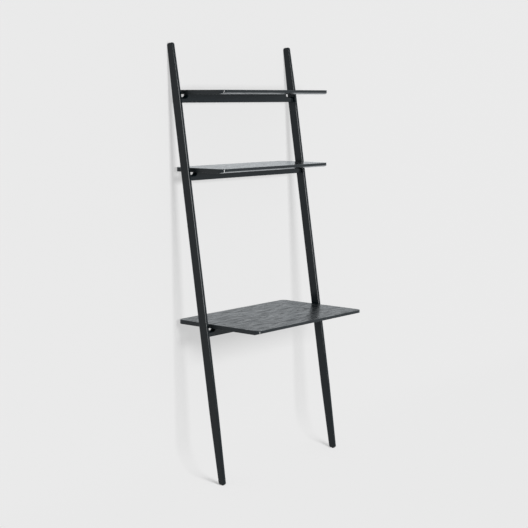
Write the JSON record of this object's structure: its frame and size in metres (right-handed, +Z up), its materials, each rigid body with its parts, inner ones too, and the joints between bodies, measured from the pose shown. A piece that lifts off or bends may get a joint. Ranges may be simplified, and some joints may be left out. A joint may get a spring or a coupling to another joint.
{
  "type": "ladder desk",
  "caption": "Leaning ladder desk in black-stained wood: slim tapered uprights carry a deep writing board and shallower shelves on scooped crossrails.",
  "frame": {"origin": "on the floor, in the middle of the rectangle that the desk covers in plan", "axes": "+Z up, +Y towards the wall that the desk leans on, +X along the boards to the right of someone facing the wall"},
  "size_m": [0.874, 0.531, 2.0593],
  "materials": {
    "upright_wood": "black stain, satin lacquer, grain along the upright",
    "board_wood": "black stain, satin lacquer, grain along the board",
    "rail_wood": "black stain, satin lacquer, grain along the rail",
    "dowel_wood": "plain beech",
    "plated_steel": "zinc plated",
    "cam_metal": "die-cast zinc",
    "bracket_steel": "matt black",
    "pad_rubber": "matt"
  },
  "bodies": {
    "root": {"desk_board": "board_wood", "desk_bracket_screws": "plated_steel", "desk_rail": "rail_wood", "desk_rail_cam_bolts": "plated_steel", "desk_rail_cam_locks": "cam_metal", "desk_rail_dowels": "dowel_wood", "desk_rail_screws": "plated_steel", "desk_wall_bracket_left": "bracket_steel", "desk_wall_bracket_right": "bracket_steel", "left_foot_pad": "pad_rubber", "left_upright": "upright_wood", "middle_rail": "rail_wood", "middle_rail_cam_bolts": "plated_steel", "middle_rail_cam_locks": "cam_metal", "middle_rail_dowels": "dowel_wood", "middle_rail_screws": "plated_steel", "middle_shelf": "board_wood", "right_foot_pad": "pad_rubber", "right_upright": "upright_wood", "top_bracket_screws": "plated_steel", "top_rail": "rail_wood", "top_rail_cam_bolts": "plated_steel", "top_rail_cam_locks": "cam_metal", "top_rail_dowels": "dowel_wood", "top_rail_screws": "plated_steel", "top_shelf": "board_wood", "top_wall_bracket_left": "bracket_steel", "top_wall_bracket_right": "bracket_steel"}
  },
  "joints": []
}
